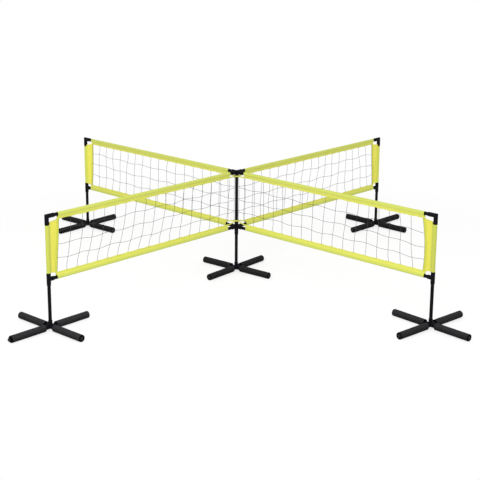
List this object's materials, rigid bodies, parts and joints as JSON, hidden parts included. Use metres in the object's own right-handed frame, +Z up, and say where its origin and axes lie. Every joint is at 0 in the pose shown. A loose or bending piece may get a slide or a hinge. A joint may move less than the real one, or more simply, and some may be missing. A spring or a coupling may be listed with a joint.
{
  "type": "volleyball net on poles",
  "caption": "Free-standing four-way ball net: nets in fabric sleeves on black tube posts, joined at a centre post, each post in a turning cross base with foam-covered legs.",
  "frame": {"origin": "on the floor under the centre post's axis", "axes": "+Z up along the posts; the nets run from the centre post along +X (east), +Y (north), -X (west) and -Y (south)"},
  "size_m": [4.5005, 4.4816, 0.8451],
  "materials": {
    "black_plastic": "satin",
    "black_tube": "satin",
    "foam": "matte",
    "lime_fabric": "matte",
    "net_cord": "matte"
  },
  "bodies": {
    "frame": {"centre_lower_pole": "black_tube", "east_lower_pole": "black_tube", "north_lower_pole": "black_tube", "west_lower_pole": "black_tube", "south_lower_pole": "black_tube", "centre_upper_pole": "black_tube", "east_upper_pole": "black_tube", "north_upper_pole": "black_tube", "west_upper_pole": "black_tube", "south_upper_pole": "black_tube", "top_cross": "black_plastic", "bottom_cross": "black_plastic", "east_elbow": "black_plastic", "north_elbow": "black_plastic", "west_elbow": "black_plastic", "south_elbow": "black_plastic", "east_tee": "black_plastic", "north_tee": "black_plastic", "west_tee": "black_plastic", "south_tee": "black_plastic", "east_top_rail": "black_tube", "north_top_rail": "black_tube", "west_top_rail": "black_tube", "south_top_rail": "black_tube", "east_bottom_rail": "black_tube", "north_bottom_rail": "black_tube", "west_bottom_rail": "black_tube", "south_bottom_rail": "black_tube", "east_net": "net_cord", "north_net": "net_cord", "west_net": "net_cord", "south_net": "net_cord", "east_net_sleeves": "lime_fabric", "north_net_sleeves": "lime_fabric", "west_net_sleeves": "lime_fabric", "south_net_sleeves": "lime_fabric", "top_tape_ring": "lime_fabric", "bottom_tape_ring": "lime_fabric"},
    "centre_base": {"centre_hub": "black_plastic", "centre_leg_tubes": "black_tube", "centre_foam_sleeves": "foam", "centre_leg_caps": "black_plastic"},
    "east_base": {"east_hub": "black_plastic", "east_leg_tubes": "black_tube", "east_foam_sleeves": "foam", "east_leg_caps": "black_plastic"},
    "north_base": {"north_hub": "black_plastic", "north_leg_tubes": "black_tube", "north_foam_sleeves": "foam", "north_leg_caps": "black_plastic"},
    "west_base": {"west_hub": "black_plastic", "west_leg_tubes": "black_tube", "west_foam_sleeves": "foam", "west_leg_caps": "black_plastic"},
    "south_base": {"south_hub": "black_plastic", "south_leg_tubes": "black_tube", "south_foam_sleeves": "foam", "south_leg_caps": "black_plastic"}
  },
  "joints": [
    {"name": "centre_base_swivel", "type": "hinge", "parent": "frame", "child": "centre_base", "pos_m": [0, 0, 0], "axis": [0, 0, 1], "continuous": true},
    {"name": "east_base_swivel", "type": "hinge", "parent": "frame", "child": "east_base", "pos_m": [1.9, 0, 0], "axis": [0, 0, 1], "continuous": true},
    {"name": "north_base_swivel", "type": "hinge", "parent": "frame", "child": "north_base", "pos_m": [0, 1.9, 0], "axis": [0, 0, 1], "continuous": true},
    {"name": "west_base_swivel", "type": "hinge", "parent": "frame", "child": "west_base", "pos_m": [-1.9, 0, 0], "axis": [0, 0, 1], "continuous": true},
    {"name": "south_base_swivel", "type": "hinge", "parent": "frame", "child": "south_base", "pos_m": [0, -1.9, 0], "axis": [0, 0, 1], "continuous": true}
  ]
}
